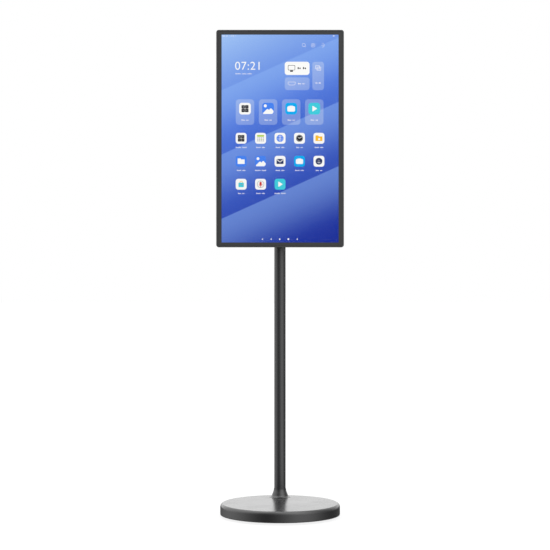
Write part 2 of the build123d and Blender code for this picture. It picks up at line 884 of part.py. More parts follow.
with BuildPart() as friction_washer:
    with BuildSketch(screen_plane(bracket_plate_front)):
        Circle(hub_radius - friction_washer_inset)
        Circle(turn_spindle_radius, mode=Mode.SUBTRACT)
    extrude(amount=friction_washer_thickness)
keep(friction_washer, "friction_washer")

with BuildPart() as turn_nut:
    with BuildSketch(screen_plane(turn_nut_back)):
        RegularPolygon(turn_nut_radius, 6)
        Circle(turn_spindle_radius, mode=Mode.SUBTRACT)
    extrude(amount=turn_nut_thickness)
keep(turn_nut, "turn_nut")

with BuildPart() as turn_disc:
    with BuildSketch(screen_plane(turn_disc_back)):
        Circle(hub_radius)
    extrude(amount=turn_disc_thickness)
    with BuildSketch(screen_plane(turn_disc_back)):
        Circle(turn_spindle_radius + running_gap)
    extrude(amount=turn_disc_thickness, mode=Mode.SUBTRACT)
    with BuildSketch(screen_plane(turn_disc_front + turn_recess_depth)):
        Circle(turn_recess_radius)
    extrude(amount=turn_recess_depth, mode=Mode.SUBTRACT)
    with BuildSketch(screen_plane(turn_disc_back)):
        with PolarLocations(disc_screw_ring, 4, 45):
            Circle(mount_screw_head_radius + screw_head_gap)
    extrude(amount=mount_screw_head_height + screw_head_sink, mode=Mode.SUBTRACT)
    with BuildSketch(screen_plane(turn_disc_back)):
        with PolarLocations(disc_screw_ring, 4, 45):
            Circle(mount_screw_radius + running_gap)
    extrude(amount=turn_disc_thickness, mode=Mode.SUBTRACT)
keep(turn_disc, "turn_disc")

with BuildPart() as vesa_plate:
    with BuildSketch(screen_plane(turn_disc_front)):
        RectangleRounded(vesa_plate_size, vesa_plate_size, vesa_plate_corner)
        Circle(turn_recess_radius, mode=Mode.SUBTRACT)
        with GridLocations(vesa_spacing, vesa_spacing, 2, 2):
            Circle(mount_screw_radius + screw_head_gap, mode=Mode.SUBTRACT)
        with PolarLocations(disc_screw_ring, 4, 45):
            Circle(mount_screw_radius + running_gap, mode=Mode.SUBTRACT)
    extrude(amount=vesa_plate_thickness)
keep(vesa_plate, "vesa_plate")

with BuildPart() as mount_screws:
    # Four into the display's bosses.
    with BuildSketch(screen_plane(turn_disc_front + mount_screw_head_height)):
        with GridLocations(vesa_spacing, vesa_spacing, 2, 2):
            Circle(mount_screw_head_radius)
    extrude(amount=mount_screw_head_height)
    with BuildSketch(screen_plane(turn_disc_front)):
        with GridLocations(vesa_spacing, vesa_spacing, 2, 2):
            Circle(mount_screw_radius)
    extrude(amount=mount_screw_length)
    # Four that hold the turning disc to the plate.
    disc_screw_back = turn_disc_back - screw_head_sink
    with BuildSketch(screen_plane(disc_screw_back)):
        with PolarLocations(disc_screw_ring, 4, 45):
            Circle(mount_screw_head_radius)
    extrude(amount=mount_screw_head_height)
    with BuildSketch(screen_plane(disc_screw_back - mount_screw_head_height)):
        with PolarLocations(disc_screw_ring, 4, 45):
            Circle(mount_screw_radius)
    extrude(amount=disc_screw_back - mount_screw_head_height - display_back - screw_head_sink)
keep(mount_screws, "mount_screws")

# ---- Display ----

pocket_width = display_width - 2 * frame_lip
pocket_height = display_height - 2 * frame_lip
case_screw_spots = [
    (side * case_screw_x, rise)
    for side in (-1, 1)
    for rise in (-case_screw_far_rise, -case_screw_rise, case_screw_rise, case_screw_far_rise)
]

with BuildPart() as display_frame:
    with BuildSketch(screen_plane(frame_back)):
        RectangleRounded(display_width, display_height, display_corner)
    extrude(amount=frame_depth)
    fillet(display_frame.faces().sort_by(Axis.Y)[0].edges(), frame_softness)
    fillet(display_frame.faces().sort_by(Axis.Y)[-1].edges(), frame_softness)
    with BuildSketch(screen_plane(frame_back)):
        RectangleRounded(
            display_width - 2 * frame_wall,
            display_height - 2 * frame_wall,
            display_corner - frame_wall,
        )
    extrude(amount=frame_depth - ledge_front - ledge_thickness, mode=Mode.SUBTRACT)
    with BuildSketch(screen_plane(frame_back)):
        Rectangle(display_width - 2 * ledge_width, display_height - 2 * ledge_width)
    extrude(amount=frame_depth, mode=Mode.SUBTRACT)
    with BuildSketch(screen_plane(display_front + ledge_front)):
        RectangleRounded(pocket_width, pocket_height, display_corner - frame_lip)
    extrude(amount=ledge_front, mode=Mode.SUBTRACT)
    # Bosses for the rear cover's screws.
    with BuildSketch(screen_plane(cover_front)):
        with Locations(*case_screw_spots):
            Rectangle(case_boss_size + case_boss_bury, case_boss_size)
    extrude(amount=case_boss_depth)
    with BuildSketch(screen_plane(cover_front)):
        with Locations(*case_screw_spots):
            Circle(case_screw_radius)
    extrude(amount=case_boss_depth, mode=Mode.SUBTRACT)
keep(display_frame, "display_frame")

with BuildPart() as touch_glass:
    with BuildSketch(screen_plane(glass_back)):
        RectangleRounded(
            pocket_width - 2 * glass_gap,
            pocket_height - 2 * glass_gap,
            display_corner - frame_lip - glass_gap,
        )
    extrude(amount=glass_thickness)
    chamfer(touch_glass.faces().sort_by(Axis.Y)[0].edges(), glass_chamfer)
keep(touch_glass, "touch_glass")

with BuildPart() as lcd_panel:
    with BuildSketch(screen_plane(panel_back)):
        Rectangle(active_width + 2 * panel_border, active_height + 2 * panel_border)
    extrude(amount=panel_thickness)
keep(lcd_panel, "lcd_panel")

with BuildPart() as diffuser_plate:
    with BuildSketch(screen_plane(diffuser_back)):
        Rectangle(active_width + 2 * diffuser_border, active_height + 2 * diffuser_border)
    extrude(amount=diffuser_thickness)
keep(diffuser_plate, "diffuser_plate")

tray_width = active_width + 2 * tray_border
tray_height = active_height + 2 * tray_border
with BuildPart() as backlight_tray:
    with BuildSketch(screen_plane(tray_back)):
        Rectangle(tray_width, tray_height)
    extrude(amount=tray_depth)
    with BuildSketch(screen_plane(tray_back - tray_wall)):
        Rectangle(tray_width - 2 * tray_wall, tray_height - 2 * tray_wall)
    extrude(amount=tray_depth - tray_wall, mode=Mode.SUBTRACT)
keep(backlight_tray, "backlight_tray")

led_bar_pitch = active_height / led_bar_count
led_lens_pitch = active_width / led_lens_count
with BuildPart() as led_strips:
    with BuildSketch(screen_plane(tray_back - tray_wall)):
        with GridLocations(1, led_bar_pitch, 1, led_bar_count):
            Rectangle(active_width - 2 * led_bar_inset, led_bar_width)
    extrude(amount=led_bar_thickness)
    with BuildSketch(screen_plane(tray_back - tray_wall - led_bar_thickness)):
        with GridLocations(led_lens_pitch, led_bar_pitch, led_lens_count, led_bar_count):
            Circle(led_lens_radius)
    extrude(amount=led_lens_height)
keep(led_strips, "led_strips")

with BuildPart() as chassis_bracket:
    with BuildSketch(screen_plane(chassis_back)):
        RectangleRounded(chassis_width, chassis_height, chassis_corner)
        with GridLocations(chassis_window_across, chassis_window_rise, 2, 2):
            RectangleRounded(
                chassis_window_width,
                chassis_window_height,
                chassis_window_corner,
                mode=Mode.SUBTRACT,
            )
    extrude(amount=chassis_thickness)
    with BuildSketch(screen_plane(display_back)):
        with GridLocations(vesa_spacing, vesa_spacing, 2, 2):
            Circle(boss_radius)
    extrude(amount=display_back - chassis_back)
    with BuildSketch(screen_plane(display_back)):
        with GridLocations(vesa_spacing, vesa_spacing, 2, 2):
            Circle(mount_screw_radius + running_gap)
    extrude(amount=mount_screw_length, mode=Mode.SUBTRACT)
keep(chassis_bracket, "chassis_bracket")

socket_rises = [-main_board_drop + (step - 1) * socket_pitch for step in range(3)]
socket_middle = main_board_back + socket_rise_off_board
socket_sizes = [(usb_width, usb_height), (usb_width, usb_height), (hdmi_width, hdmi_height)]
grille_spots = [(-speaker_offset, -speaker_drop), (speaker_offset, -speaker_drop)]
button_spots = {
    "power_button": -power_button_drop,
    "volume_up_button": -volume_button_drop,
    "volume_down_button": -volume_button_drop - volume_button_pitch,
}


def socket_plane(across, rise):
    """A plane facing -X at a socket's mouth, with Y across it and Z up it."""
    return Plane(
        origin=(across, socket_middle, screen_centre_height + rise),
        x_dir=(0, -1, 0),
        z_dir=(-1, 0, 0),
    )


with BuildPart() as rear_cover:
    with BuildSketch(screen_plane(frame_back)):
        RectangleRounded(
            display_width - 2 * frame_wall - 2 * cover_gap,
            display_height - 2 * frame_wall - 2 * cover_gap,
            display_corner - frame_wall - cover_gap,
        )
    extrude(amount=cover_thickness)
    with BuildSketch(screen_plane(display_back)):
        RectangleRounded(bump_width, bump_height, bump_corner)
    extrude(amount=display_back - frame_back)
    fillet(rear_cover.faces().sort_by(Axis.Y)[-1].edges(), bump_softness)
    with BuildSketch(screen_plane(bump_inner_back)):
        RectangleRounded(
            bump_width - 2 * bump_wall, bump_height - 2 * bump_wall, bump_corner - bump_wall
        )
    extrude(amount=bump_inner_back - cover_front, mode=Mode.SUBTRACT)
    # Holes for the bosses, the vents, the speakers, the screws and the buttons.
    with BuildSketch(screen_plane(display_back)):
        with GridLocations(vesa_spacing, vesa_spacing, 2, 2):
            Circle(boss_radius + loose_gap)
        with Locations((0, vent_rise)):
            with GridLocations(vent_pitch, 1, vent_count, 1):
                SlotOverall(vent_length, vent_width, rotation=90)
        for grille_spot in grille_spots:
            with Locations(grille_spot):
                with GridLocations(grille_pitch, 1, grille_count, 1):
                    SlotOverall(grille_length, grille_width, rotation=90)
    extrude(amount=bump_wall, mode=Mode.SUBTRACT)
    with BuildSketch(screen_plane(frame_back)):
        with Locations(*case_screw_spots):
            Circle(case_screw_head_radius + screw_head_gap)
    extrude(amount=case_screw_head_height, mode=Mode.SUBTRACT)
    with BuildSketch(screen_plane(frame_back)):
        with Locations(*case_screw_spots):
            Circle(case_screw_radius + screw_head_gap)
        for rise in button_spots.values():
            with Locations((button_x, rise)):
                Circle(button_radius + button_gap)
    extrude(amount=cover_thickness, mode=Mode.SUBTRACT)
    for rise, (width, height) in zip(socket_rises, socket_sizes):
        with BuildSketch(socket_plane(-bump_width / 2, rise)):
            Rectangle(height + 2 * loose_gap, width + 2 * loose_gap)
        extrude(amount=-bump_wall, mode=Mode.SUBTRACT)
keep(rear_cover, "rear_cover")

with BuildPart() as case_screws:
    with BuildSketch(screen_plane(frame_back)):
        with Locations(*case_screw_spots):
            Circle(case_screw_head_radius)
    extrude(amount=case_screw_head_height)
    with BuildSketch(screen_plane(frame_back - case_screw_head_height)):
        with Locations(*case_screw_spots):
            Circle(case_screw_radius - running_gap)
    extrude(amount=case_screw_length)
keep(case_screws, "case_screws")

main_board_x = -bump_width / 2 + bump_wall + board_edge_gap + main_board_width / 2
with BuildPart() as main_board:
    with BuildSketch(screen_plane(main_board_back)):
        with Locations((main_board_x, -main_board_drop)):
            Rectangle(main_board_width, main_board_height)
    extrude(amount=board_thickness)
    with BuildSketch(screen_plane(main_board_front)):
        with Locations((main_board_x + chip_across, -main_board_drop)):
            with GridLocations(
                main_board_width - 2 * board_leg_inset_across,
                main_board_height - 2 * board_leg_inset_up,
                2,
                2,
            ):
                Circle(standoff_radius)
    extrude(amount=main_board_standoff)
    with BuildSketch(screen_plane(main_board_back + chip_height)):
        with Locations((main_board_x + chip_across, -main_board_drop + chip_rise)):
            Rectangle(chip_size, chip_size)
        with Locations((main_board_x + capacitor_across, -main_board_drop - capacitor_drop)):
            with GridLocations(capacitor_pitch, 1, 2, 1):
                Circle(capacitor_radius)
        with Locations((main_board_x + connector_across, -main_board_drop - connector_drop)):
            Rectangle(connector_length, connector_width)
    extrude(amount=chip_height)
keep(main_board, "main_board")

socket_mouth = -bump_width / 2 + socket_sink
with BuildPart() as port_sockets:
    for rise, (width, height) in zip(socket_rises, socket_sizes):
        with BuildSketch(socket_plane(socket_mouth, rise)):
            Rectangle(height, width)
            Rectangle(height - 2 * socket_wall, width - 2 * socket_wall, mode=Mode.SUBTRACT)
        extrude(amount=-socket_depth)
        with BuildSketch(socket_plane(socket_mouth + socket_depth, rise)):
            Rectangle(height, width)
        extrude(amount=socket_wall)
        with BuildSketch(socket_plane(socket_mouth + socket_depth, rise)):
            Rectangle(socket_tongue, width - 2 * socket_tongue_inset)
        extrude(amount=socket_depth - socket_tongue_inset)
keep(port_sockets, "port_sockets")


def make_speaker(name, offset):
    """A boxed loudspeaker with a dished cone that faces the grille."""
    with BuildPart() as speaker:
        with BuildSketch(screen_plane(bump_inner_back - speaker_gap)):
            with Locations((offset, -speaker_drop)):
                RectangleRounded(speaker_width, speaker_height, speaker_corner)
        extrude(amount=speaker_depth)
        with BuildSketch(screen_plane(bump_inner_back - speaker_gap)):
            with Locations((offset, -speaker_drop)):
                Circle(cone_radius)
        extrude(amount=cone_depth, taper=cone_taper, mode=Mode.SUBTRACT)
    keep(speaker, name)


make_speaker("speaker_left", -speaker_offset)
make_speaker("speaker_right", speaker_offset)

with BuildPart() as button_board:
    board_rise = -volume_button_drop + volume_button_pitch / 2
    button_board_face = button_board_back - switch_height
    with BuildSketch(screen_plane(button_board_face)):
        with Locations((button_x, board_rise)):
            Rectangle(button_board_width, button_board_height)
    extrude(amount=board_thickness)
    with BuildSketch(screen_plane(button_board_back)):
        for rise in button_spots.values():
            with Locations((button_x, rise)):
                Circle(switch_radius)
    extrude(amount=switch_height)
    with BuildSketch(screen_plane(button_board_face - board_thickness)):
        with Locations((button_x, board_rise)):
            with GridLocations(1, button_board_height - 2 * button_board_leg_inset, 1, 2):
                Circle(button_board_leg_radius)
    extrude(amount=button_board_face - board_thickness - tray_back)
keep(button_board, "button_board")


def make_button(name, rise):
    """A round key with a rim inside the cover that keeps it from falling out."""
    with BuildPart() as button:
        with BuildSketch(screen_plane(frame_back + button_proud)):
            with Locations((button_x, rise)):
                Circle(button_radius)
        extrude(amount=frame_back + button_proud - button_front)
        fillet(button.edges().group_by(Axis.Y)[-1], button_softness)
        with BuildSketch(screen_plane(cover_front - face_gap)):
            with Locations((button_x, rise)):
                Circle(button_radius + button_rim)
        extrude(amount=cover_front - face_gap - button_front)
    keep(button, name)


for button_name, button_rise in button_spots.items():
    make_button(button_name, button_rise)
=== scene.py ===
import json
from math import cos, pi, radians, sin, tau

import bmesh
import bpy
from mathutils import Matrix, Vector


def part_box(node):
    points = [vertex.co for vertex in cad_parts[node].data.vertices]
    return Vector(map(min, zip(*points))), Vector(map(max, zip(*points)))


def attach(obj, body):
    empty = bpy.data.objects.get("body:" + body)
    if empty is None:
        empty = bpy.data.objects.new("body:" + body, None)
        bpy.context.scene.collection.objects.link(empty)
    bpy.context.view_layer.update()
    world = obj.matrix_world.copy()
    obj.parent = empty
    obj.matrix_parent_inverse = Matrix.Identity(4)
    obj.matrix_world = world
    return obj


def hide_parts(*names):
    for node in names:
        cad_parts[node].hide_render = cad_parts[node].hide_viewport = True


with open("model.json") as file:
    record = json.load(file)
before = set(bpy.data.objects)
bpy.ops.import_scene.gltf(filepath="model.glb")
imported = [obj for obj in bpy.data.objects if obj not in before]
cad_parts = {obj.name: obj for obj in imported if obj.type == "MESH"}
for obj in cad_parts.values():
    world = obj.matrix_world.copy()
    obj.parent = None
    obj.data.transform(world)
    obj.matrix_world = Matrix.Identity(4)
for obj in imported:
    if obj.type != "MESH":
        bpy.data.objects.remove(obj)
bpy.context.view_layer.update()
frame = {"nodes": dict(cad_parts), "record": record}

# A touch display on a rolling stand. Metres, +Z up, the screen faces -Y.

MM = 0.001


def corners_of(node):
    """The lowest and highest corners of a part, as vectors."""
    low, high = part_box(node)
    return Vector(low), Vector(high)


# ---- Places read from the parts ----

panel_low, panel_high = corners_of("lcd_panel")
glass_low, glass_high = corners_of("touch_glass")
base_top = corners_of("base_top_cover")[1].z

panel_border = 3 * MM
lit_width = panel_high.x - panel_low.x - 2 * panel_border
lit_height = panel_high.z - panel_low.z - 2 * panel_border
lit_left = panel_low.x + panel_border
lit_top = panel_high.z - panel_border


# ---- Mesh tools ----


def new_piece(name, mesh, body, stands_for=(), smooth_angle=35):
    """Puts a finished mesh in the scene as a piece that moves with one body."""
    piece = bpy.data.objects.new(name, mesh)
    bpy.context.scene.collection.objects.link(piece)
    mesh.shade_smooth()
    mesh.set_sharp_from_angle(angle=radians(smooth_angle))
    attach(piece, body)
    if stands_for:
        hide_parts(*stands_for)
    return piece


def rounded_rectangle(width, height, radius, steps=6):
    """An outline centred on the origin, anticlockwise."""
    outline = []
    spots = [(1, 1, 0), (-1, 1, 1), (-1, -1, 2), (1, -1, 3)]
    for side_x, side_y, quarter in spots:
        for step in range(steps + 1):
            angle = (quarter + step / steps) * pi / 2
            outline.append(
                (
                    side_x * (width / 2 - radius) + radius * cos(angle),
                    side_y * (height / 2 - radius) + radius * sin(angle),
                )
            )
    return outline


# ---- Shader tools ----


def display_colour(red, green, blue):
    """A linear colour from the 0 to 255 values that a screen shows."""

    def linear(value):
        value /= 255
        return value / 12.92 if value <= 0.04045 else ((value + 0.055) / 1.055) ** 2.4

    return (linear(red), linear(green), linear(blue), 1.0)


def wire(tree, source, target):
    """Links a socket, or sets a plain value."""
    if isinstance(source, bpy.types.NodeSocket):
        tree.links.new(source, target)
    else:
        target.default_value = source


def maths(tree, operation, *values):
    node = tree.nodes.new("ShaderNodeMath")
    node.operation = operation
    for value, target in zip(values, node.inputs):
        wire(tree, value, target)
    return node.outputs[0]


def total(tree, *terms):
    """A sum of (weight, value) terms and plain numbers."""
    running = None
    for term in terms:
        value = maths(tree, "MULTIPLY", term[1], term[0]) if isinstance(term, tuple) else term
        running = value if running is None else maths(tree, "ADD", running, value)
    return running


def ramp_up(tree, value, low, high):
    """0 below low, 1 above high, and a smooth rise between; low may be above high."""
    node = tree.nodes.new("ShaderNodeMapRange")
    node.interpolation_type = "SMOOTHSTEP"
    wire(tree, value, node.inputs["Value"])
    if low > high:
        low, high = high, low
        node.inputs["To Min"].default_value = 1
        node.inputs["To Max"].default_value = 0
    node.inputs["From Min"].default_value = low
    node.inputs["From Max"].default_value = high
    return node.outputs["Result"]


def mixed(tree, share, first, second):
    node = tree.nodes.new("ShaderNodeMix")
    node.data_type = "RGBA"
    wire(tree, share, node.inputs["Factor"])
    wire(tree, first, node.inputs["A"])
    wire(tree, second, node.inputs["B"])
    return node.outputs["Result"]


run_steps = 5


def colour_run(tree, value, *stops):
    """A gradient through stops of place, red, green and blue, even in the values that a screen shows."""
    start, end = stops[0][0], stops[-1][0]
    shades = [
        [low + (high - low) * step / run_steps for low, high in zip(first, last)]
        for first, last in zip(stops, stops[1:])
        for step in range(run_steps)
    ]
    shades.append(stops[-1])
    node = tree.nodes.new("ShaderNodeValToRGB")
    share = maths(tree, "MULTIPLY_ADD", value, 1 / (end - start), -start / (end - start))
    tree.links.new(share, node.inputs["Fac"])
    elements = node.color_ramp.elements
    while len(elements) < len(shades):
        elements.new(0.5)
    for element, (place, *shade) in zip(elements, shades):
        element.position = (place - start) / (end - start)
        element.color = display_colour(*shade)
    return node.outputs["Color"]


def noise(tree, where, scale, detail=2.0):
    node = tree.nodes.new("ShaderNodeTexNoise")
    node.inputs["Scale"].default_value = scale
    node.inputs["Detail"].default_value = detail
    tree.links.new(where, node.inputs["Vector"])
    return node.outputs["Fac"]


def new_group(name, inputs, outputs):
    """An empty shader group: inputs are (name, kind, default), outputs are (name, kind)."""
    group = bpy.data.node_groups.new(name, "ShaderNodeTree")
    for label, kind, default in inputs:
        socket = group.interface.new_socket(label, in_out="INPUT", socket_type=kind)
        socket.default_value = default
    for label, kind in outputs:
        group.interface.new_socket(label, in_out="OUTPUT", socket_type=kind)
    return group, group.nodes.new("NodeGroupInput"), group.nodes.new("NodeGroupOutput")


FLOAT, COLOUR = "NodeSocketFloat", "NodeSocketColor"


def build_surface_grain():
    """Fine moulded or sprayed texture, slow colour drift and faint handling marks."""
    group, given, made = new_group(
        "surface_grain",
        [
            ("Colour", COLOUR, (0.5, 0.5, 0.5, 1)),
            ("Drift", FLOAT, 0.1),
            ("Roughness", FLOAT, 0.4),
            ("Marks", FLOAT, 0.05),
            ("Grain Size", FLOAT, 1.0),
        ],
        [("Colour", COLOUR), ("Roughness", FLOAT), ("Height", FLOAT)],
    )
    place = group.nodes.new("ShaderNodeTexCoord").outputs["Object"]
    slow = noise(group, place, 7.0, 3.0)
    scale = group.nodes.new("ShaderNodeVectorMath")
    scale.operation = "DIVIDE"
    group.links.new(place, scale.inputs[0])
    size = group.nodes.new("ShaderNodeCombineXYZ")
    for axis in range(3):
        group.links.new(given.outputs["Grain Size"], size.inputs[axis])
    group.links.new(size.outputs[0], scale.inputs[1])
    fine = noise(group, scale.outputs[0], 1800.0, 3.0)
    speck = noise(group, scale.outputs[0], 520.0, 1.0)
    shade = maths(group, "SUBTRACT", total(group, (0.6, slow), (0.4, speck)), 0.5)
    level = maths(group, "MULTIPLY_ADD", shade, given.outputs["Drift"], 1.0)
    tint = group.nodes.new("ShaderNodeVectorMath")
    tint.operation = "SCALE"
    group.links.new(given.outputs["Colour"], tint.inputs[0])
    group.links.new(level, tint.inputs["Scale"])
    group.links.new(tint.outputs[0], made.inputs["Colour"])
    smudge = ramp_up(group, noise(group, place, 16.0, 5.0), 0.42, 0.72)
    rough = maths(group, "MULTIPLY_ADD", smudge, given.outputs["Marks"], given.outputs["Roughness"])
    rough = maths(group, "MULTIPLY_ADD", shade, 0.06, rough)
    group.links.new(rough, made.inputs["Roughness"])
    group.links.new(total(group, (0.7, fine), (0.3, speck)), made.inputs["Height"])
    return group


def build_brushing():
    """Fine lines left by turning, round an upright axis."""
    group, given, made = new_group(
        "brushed_lines",
        [("Roughness", FLOAT, 0.3), ("Strength", FLOAT, 0.15)],
        [("Roughness", FLOAT), ("Height", FLOAT)],
    )
    place = group.nodes.new("ShaderNodeTexCoord").outputs["Object"]
    stretch = group.nodes.new("ShaderNodeMapping")
    stretch.inputs["Scale"].default_value = (1.0, 1.0, 60.0)
    group.links.new(place, stretch.inputs["Vector"])
    lines = noise(group, stretch.outputs[0], 40.0, 6.0)
    rough = maths(group, "MULTIPLY_ADD", lines, given.outputs["Strength"], given.outputs["Roughness"])
    group.links.new(rough, made.inputs["Roughness"])
    group.links.new(lines, made.inputs["Height"])
    return group


surface_grain = build_surface_grain()
brushed_lines = build_brushing()


def new_finish(name):
    """A material with its Principled shader, ready to be wired."""
    material = bpy.data.materials.new(name)
    material.use_nodes = True
    return material, material.node_tree, material.node_tree.nodes["Principled BSDF"]


def bumped(tree, shader, height, depth, strength):
    bump = tree.nodes.new("ShaderNodeBump")
    bump.inputs["Distance"].default_value = depth
    bump.inputs["Strength"].default_value = strength
    tree.links.new(height, bump.inputs["Height"])
    tree.links.new(bump.outputs["Normal"], shader.inputs["Normal"])


def grained(name, colour, roughness, depth=0.02, size=1.0, drift=0.15, marks=0.05, **fixed):
    """A painted, moulded or cast surface. depth is the grain's height in millimetres."""
    material, tree, shader = new_finish(name)
    grain = tree.nodes.new("ShaderNodeGroup")
    grain.node_tree = surface_grain
    grain.inputs["Colour"].default_value = (*colour, 1)
    grain.inputs["Drift"].default_value = drift
    grain.inputs["Roughness"].default_value = roughness
    grain.inputs["Marks"].default_value = marks
    grain.inputs["Grain Size"].default_value = size
    tree.links.new(grain.outputs["Colour"], shader.inputs["Base Color"])
    tree.links.new(grain.outputs["Roughness"], shader.inputs["Roughness"])
    bumped(tree, shader, grain.outputs["Height"], depth * MM, 0.5)
    for socket, value in fixed.items():
        shader.inputs[socket.replace("_", " ")].default_value = value
    return material


def brushed(name, colour, roughness, strength=0.15):
    """Bare metal with fine lines."""
    material, tree, shader = new_finish(name)
    lines = tree.nodes.new("ShaderNodeGroup")
    lines.node_tree = brushed_lines
    lines.inputs["Roughness"].default_value = roughness
    lines.inputs["Strength"].default_value = strength
    shader.inputs["Base Color"].default_value = (*colour, 1)
    shader.inputs["Metallic"].default_value = 1.0
    tree.links.new(lines.outputs["Roughness"], shader.inputs["Roughness"])
    bumped(tree, shader, lines.outputs["Height"], 0.01 * MM, 0.3)
    return material


# ---- Finishes, one for each material slot of the parts ----

finishes = {
    "base_cover_paint": grained("base_paint", (0.0045, 0.0045, 0.0048), 0.25, 0.004, marks=0.02),
    "pan_plastic": grained("pan_plastic", (0.012, 0.012, 0.013), 0.6, 0.05, 2.0),
    "ballast_iron": grained("ballast_iron", (0.06, 0.058, 0.056), 0.7, 0.3, 4.0, 0.5),
    "zinc_steel": brushed("zinc_plated_steel", (0.62, 0.62, 0.64), 0.28),
    "black_steel": grained("black_steel", (0.015, 0.015, 0.016), 0.42, 0.02),
    "pole_paint": grained("pole_paint", (0.008, 0.0083, 0.009), 0.27, 0.004, marks=0.02),
    "inner_tube_metal": brushed("anodised_tube", (0.12, 0.12, 0.125), 0.28, 0.1),
    "bush_plastic": grained("bush_plastic", (0.014, 0.014, 0.015), 0.35, 0.01),
    "battery_wrap": grained("battery_wrap", (0.02, 0.06, 0.16), 0.35, 0.03, 3.0),
    "circuit_board": grained("circuit_board", (0.01, 0.09, 0.035), 0.3, 0.02, 1.0, 0.4),
    "light_pipe": grained("light_pipe", (0.11, 0.112, 0.118), 0.3, 0.005),
    "wheel_rubber": grained("wheel_rubber", (0.03, 0.03, 0.031), 0.65, 0.05),
    "housing_paint": grained("neck_paint", (0.016, 0.0165, 0.0175), 0.36, 0.012),
    "frame_plastic": grained("frame_finish", (0.01, 0.0104, 0.0112), 0.42, 0.012, marks=0.03),
    "cover_plastic": grained("cover_texture", (0.014, 0.0145, 0.0155), 0.5, 0.06, 1.6, marks=0.04),
    "white_sheet": grained("diffuser_sheet", (0.85, 0.85, 0.85), 0.5, 0.005),
    "tray_metal": brushed("pressed_aluminium", (0.7, 0.7, 0.72), 0.35),
    "led_white": grained("lamp_bar", (0.8, 0.8, 0.76), 0.4, 0.01),
    "speaker_black": grained("speaker_black", (0.015, 0.015, 0.015), 0.55, 0.04, 2.0),
    "socket_metal": brushed("nickel_shell", (0.66, 0.65, 0.62), 0.25),
    "key_plastic": grained("key_plastic", (0.02, 0.02, 0.022), 0.4, 0.02),
}


# ---- The lit picture ----


def build_card_mask():
    """1 inside a rounded rectangle, 0 outside; every length in screen widths."""
    group, given, made = new_group(
        "card_mask",
        [
            (label, FLOAT, 0.0)
            for label in ("Across", "Down", "Centre Across", "Centre Down", "Width", "Height", "Radius")
        ],
        [("Mask", FLOAT)],
    )
    past = []
    for place, middle, size in (("Across", "Centre Across", "Width"), ("Down", "Centre Down", "Height")):
        run = maths(group, "SUBTRACT", given.outputs[place], given.outputs[middle])
        offset = maths(group, "ABSOLUTE", run)
        reach = maths(group, "MULTIPLY_ADD", given.outputs[size], -0.5, offset)
        past.append(maths(group, "MAXIMUM", maths(group, "ADD", reach, given.outputs["Radius"]), 0.0))
    squares = total(group, *(maths(group, "MULTIPLY", value, value) for value in past))
    beyond = maths(group, "SUBTRACT", maths(group, "SQRT", squares), given.outputs["Radius"])
    group.links.new(ramp_up(group, beyond, 0.0008, -0.0008), made.inputs["Mask"])
    return group


card_mask = build_card_mask()

# Translucent cards: middle across and down, width, height and corner, in screen widths.
clear_cards = [
    (0.646, 0.4195, 0.212, 0.109, 0.024),
    (0.826, 0.353, 0.1, 0.243, 0.024),
    (0.2, 0.662, 0.158, 0.218, 0.028),
    (0.3975, 0.662, 0.158, 0.218, 0.028),
    (0.595, 0.662, 0.158, 0.218, 0.028),
    (0.7925, 0.662, 0.158, 0.218, 0.028),
]

# The wallpaper's slanted bands: how far down each starts halfway across, in screen widths.
band_starts = (0.25, 0.8, 1.35)
band_slope = 0.45
band_fade = 0.5
band_strength = 0.35


def build_wallpaper():
    """A plain blue gradient with slanted bands. Across and down are screen widths from the top left."""
    material, tree, shader = new_finish("wallpaper")
    place = tree.nodes.new("ShaderNodeTexCoord").outputs["Object"]
    split = tree.nodes.new("ShaderNodeSeparateXYZ")
    tree.links.new(place, split.inputs[0])
    across = maths(tree, "MULTIPLY", maths(tree, "SUBTRACT", split.outputs["X"], lit_left), 1 / lit_width)
    down = maths(tree, "MULTIPLY", maths(tree, "SUBTRACT", lit_top, split.outputs["Z"]), 1 / lit_width)

    slant = total(tree, down, (band_slope, across))
    picture = colour_run(tree, slant, (0.0, 160, 195, 245), (0.8, 80, 120, 220), (2.2, 25, 45, 150))
    for start in band_starts:
        below = maths(tree, "SUBTRACT", slant, start + band_slope / 2)
        fading = maths(tree, "MULTIPLY", ramp_up(tree, below, band_fade, 0.0), band_strength)
        band = maths(tree, "MULTIPLY", ramp_up(tree, below, -0.004, 0.004), fading)
        picture = mixed(tree, band, picture, display_colour(150, 190, 250))

    # Translucent cards, laid over the picture in the values that a screen shows.
    veil = None
    for card in clear_cards:
        mask = tree.nodes.new("ShaderNodeGroup")
        mask.node_tree = card_mask
        tree.links.new(across, mask.inputs["Across"])
        tree.links.new(down, mask.inputs["Down"])
        for label, value in zip(("Centre Across", "Centre Down", "Width", "Height", "Radius"), card):
            mask.inputs[label].default_value = value
        veil = mask.outputs["Mask"] if veil is None else maths(tree, "MAXIMUM", veil, mask.outputs["Mask"])
    shown = tree.nodes.new("ShaderNodeGamma")
    shown.inputs["Gamma"].default_value = 1 / 2.2
    tree.links.new(picture, shown.inputs["Color"])
    veiled = mixed(tree, maths(tree, "MULTIPLY", veil, 0.29), shown.outputs["Color"], (0.93, 0.93, 0.95, 1))
    linear = tree.nodes.new("ShaderNodeGamma")
    linear.inputs["Gamma"].default_value = 2.2
    tree.links.new(veiled, linear.inputs["Color"])

    shader.inputs["Base Color"].default_value = (0.002, 0.002, 0.002, 1)
    shader.inputs["Roughness"].default_value = 0.5
    shader.inputs["Specular IOR Level"].default_value = 0.0
    tree.links.new(linear.outputs["Color"], shader.inputs["Emission Color"])
    shader.inputs["Emission Strength"].default_value = 1.0
    return material


finishes["screen"] = build_wallpaper()


